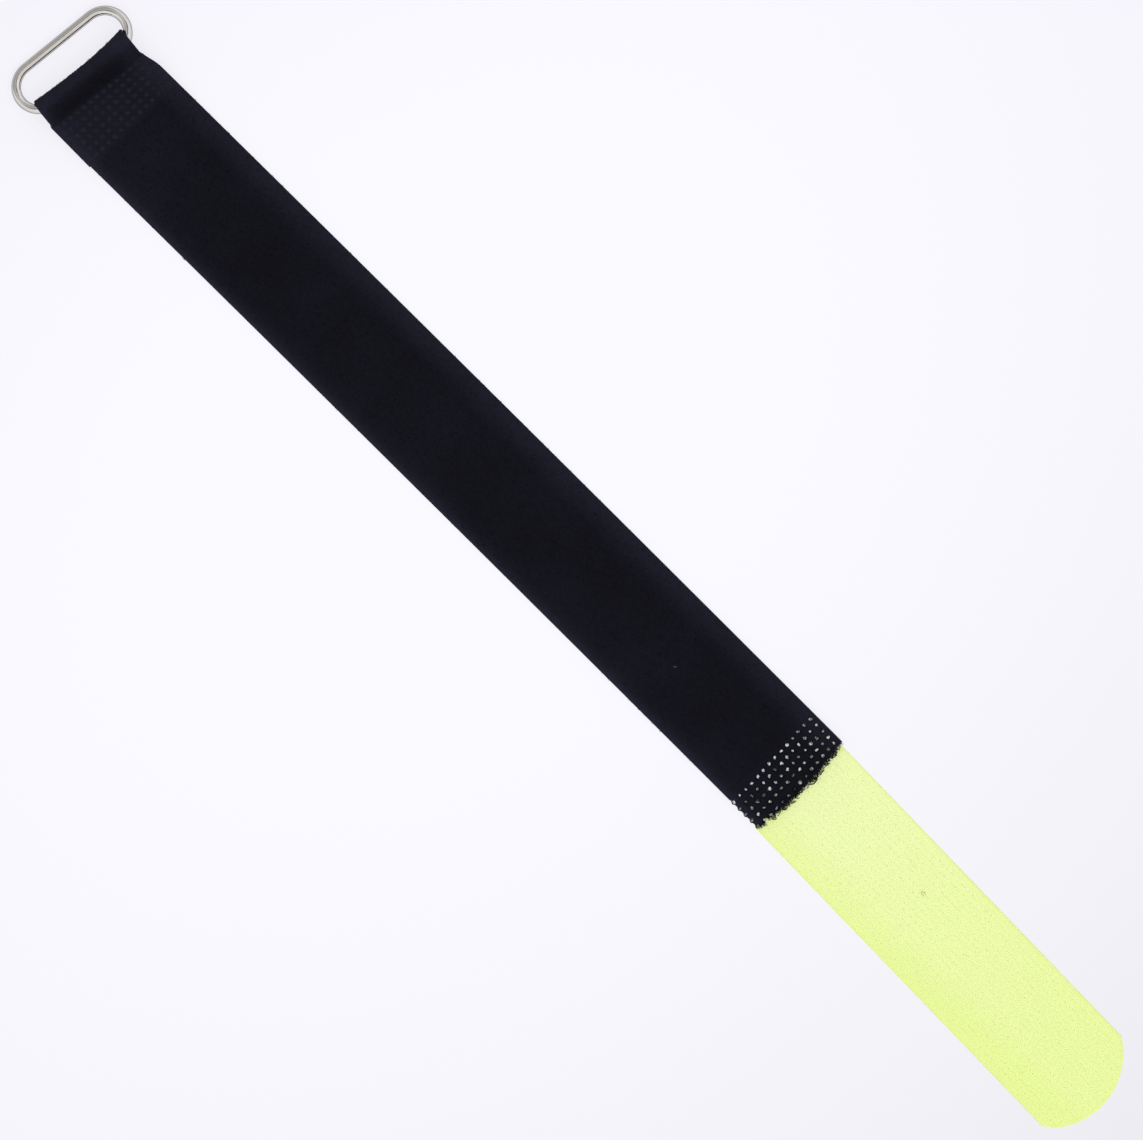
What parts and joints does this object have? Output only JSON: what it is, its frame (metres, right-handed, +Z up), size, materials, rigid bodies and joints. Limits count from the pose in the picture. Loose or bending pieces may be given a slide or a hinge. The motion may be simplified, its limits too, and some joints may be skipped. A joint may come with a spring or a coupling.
{
  "type": "hook and loop cable tie",
  "caption": "Flat hook and loop cable tie: a black loop strap folded and spot-welded round a metal oval ring, with a bright yellow hook tab.",
  "frame": {"origin": "middle of the whole tie's box, on the surface that it lies on", "axes": "+X along the tie from the ring to the hook tab's tip, +Y across it, +Z up, the side that carries the loops and hooks"},
  "size_m": [0.3088, 0.0288, 0.0074],
  "materials": {
    "black_loop_tape": "matt napped knit",
    "nickel_plate": "bright nickel plate on steel wire",
    "yellow_hook_tape": "satin nylon hook tape"
  },
  "bodies": {
    "strap": {"loop_strap": "black_loop_tape", "hook_tab": "yellow_hook_tape"},
    "ring": {"ring": "nickel_plate"}
  },
  "joints": [
    {"name": "ring_swing", "type": "hinge", "parent": "strap", "child": "ring", "pos_m": [-0.14296, -0.0005, 0.00369], "axis": [0.1045, 0.9945, 0], "range_deg": [-120, 165]}
  ]
}
